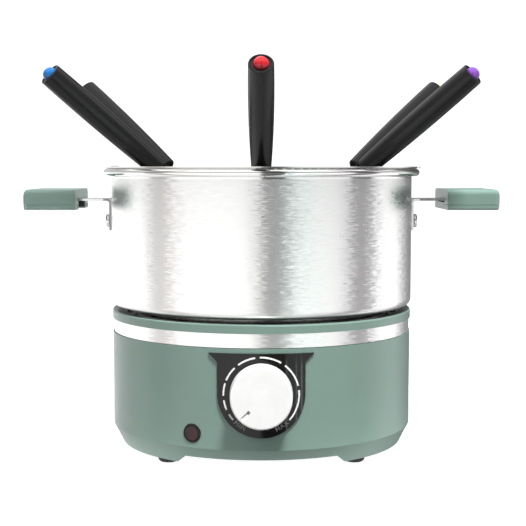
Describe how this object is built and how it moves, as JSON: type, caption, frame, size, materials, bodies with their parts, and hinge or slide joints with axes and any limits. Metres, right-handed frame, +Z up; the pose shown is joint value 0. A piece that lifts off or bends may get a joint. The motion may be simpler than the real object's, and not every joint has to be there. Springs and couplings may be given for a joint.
{
  "type": "electric fondue pot set",
  "caption": "Electric fondue set: heated base with a control knob, lift-off steel pot with side grips, fork ring on the rim and leaning forks with coloured end beads.",
  "frame": {"origin": "on the pot's axis, in the plane that the feet's bottoms stand on", "axes": "+X towards the right-hand side grip, -Y towards the control knob's side, +Z up along the pot's axis"},
  "size_m": [0.2788, 0.2742, 0.2225],
  "materials": {
    "sage_plastic": "satin moulded plastic, sage green",
    "black_plastic": "fine-textured black plastic",
    "black_enamel": "black enamel on steel",
    "zinc_screws": "zinc-plated screw heads",
    "rubber": "matt black rubber",
    "brushed_steel": "stainless steel brushed round the pot",
    "cast_aluminium": "as-cast with a turned top",
    "element_sheath": "heat-darkened steel tube",
    "zinc_sheet": "zinc-coated sheet",
    "gloss_charcoal": "polished charcoal plastic",
    "gloss_white": "semi-gloss white plastic",
    "phenolic": "moulded phenolic",
    "copper": "drawn copper",
    "red_lens": "translucent dark red plastic",
    "lamp_glass": "clear glass",
    "ceramic": "glazed ceramic",
    "silicone": "silicone insulation",
    "handle_black": "semi-gloss black plastic",
    "bead_red": "gloss",
    "bead_purple": "gloss",
    "bead_yellow": "gloss",
    "bead_green": "gloss",
    "bead_orange": "gloss",
    "bead_blue": "gloss"
  },
  "bodies": {
    "base": {"base_housing": "sage_plastic", "top_collar": "sage_plastic", "bottom_cover": "black_plastic", "indicator_holder": "black_plastic", "drip_tray": "black_enamel", "cover_screws": "zinc_screws", "shield_screws": "zinc_screws", "plate_screws": "zinc_screws", "panel_screws": "zinc_screws", "foot_rear_right": "rubber", "foot_rear_left": "rubber", "foot_front_left": "rubber", "foot_front_right": "rubber", "cord_gland": "rubber", "trim_band": "brushed_steel", "heating_plate": "cast_aluminium", "heating_element": "element_sheath", "heater_terminals": "element_sheath", "heat_shield": "zinc_sheet", "plate_posts": "zinc_sheet", "thermostat_bracket": "zinc_sheet", "control_panel": "gloss_charcoal", "thermostat_body": "phenolic", "sensor_bulb": "copper", "indicator_lens": "red_lens", "indicator_lamp": "lamp_glass", "terminal_block": "ceramic", "thermal_fuse": "ceramic", "lead_wires": "silicone"},
    "knob": {"control_knob": "gloss_white", "thermostat_spindle": "zinc_sheet"},
    "pot": {"pot_shell": "brushed_steel", "pot_base_disc": "brushed_steel", "bracket_right": "brushed_steel", "bracket_left": "brushed_steel", "grip_right": "sage_plastic", "grip_left": "sage_plastic", "grip_cover_right": "sage_plastic", "grip_cover_left": "sage_plastic", "handle_rivets": "brushed_steel", "grip_screws": "zinc_screws"},
    "ring": {"fork_ring": "brushed_steel"},
    "fork_1": {"fork_1_handle": "handle_black", "fork_1_bead": "bead_red", "fork_1_shaft": "brushed_steel"},
    "fork_2": {"fork_2_handle": "handle_black", "fork_2_bead": "bead_purple", "fork_2_shaft": "brushed_steel"},
    "fork_3": {"fork_3_handle": "handle_black", "fork_3_bead": "bead_yellow", "fork_3_shaft": "brushed_steel"},
    "fork_4": {"fork_4_handle": "handle_black", "fork_4_bead": "bead_green", "fork_4_shaft": "brushed_steel"},
    "fork_5": {"fork_5_handle": "handle_black", "fork_5_bead": "bead_orange", "fork_5_shaft": "brushed_steel"},
    "fork_6": {"fork_6_handle": "handle_black", "fork_6_bead": "bead_blue", "fork_6_shaft": "brushed_steel"}
  },
  "joints": [
    {"name": "knob_turn", "type": "hinge", "parent": "base", "child": "knob", "pos_m": [0, -0.0916, 0.0453], "axis": [0, 1, 0], "range_deg": [0, 275]},
    {"name": "pot_lift", "type": "slide", "parent": "base", "child": "pot", "axis": [0, 0, 1], "range_m": [0, 0.1]},
    {"name": "ring_lift", "type": "slide", "parent": "pot", "child": "ring", "axis": [0, 0, 1], "range_m": [0, 0.09]},
    {"name": "fork_1_pull", "type": "slide", "parent": "ring", "child": "fork_1", "axis": [0, -0.7837, 0.6211], "range_m": [0, 0.09]},
    {"name": "fork_2_pull", "type": "slide", "parent": "ring", "child": "fork_2", "axis": [0.6787, -0.3918, 0.6211], "range_m": [0, 0.09]},
    {"name": "fork_3_pull", "type": "slide", "parent": "ring", "child": "fork_3", "axis": [0.6742, 0.3995, 0.6211], "range_m": [0, 0.09]},
    {"name": "fork_4_pull", "type": "slide", "parent": "ring", "child": "fork_4", "axis": [0, 0.7837, 0.6211], "range_m": [0, 0.09]},
    {"name": "fork_5_pull", "type": "slide", "parent": "ring", "child": "fork_5", "axis": [-0.6742, 0.3995, 0.6211], "range_m": [0, 0.09]},
    {"name": "fork_6_pull", "type": "slide", "parent": "ring", "child": "fork_6", "axis": [-0.6787, -0.3918, 0.6211], "range_m": [0, 0.09]}
  ]
}
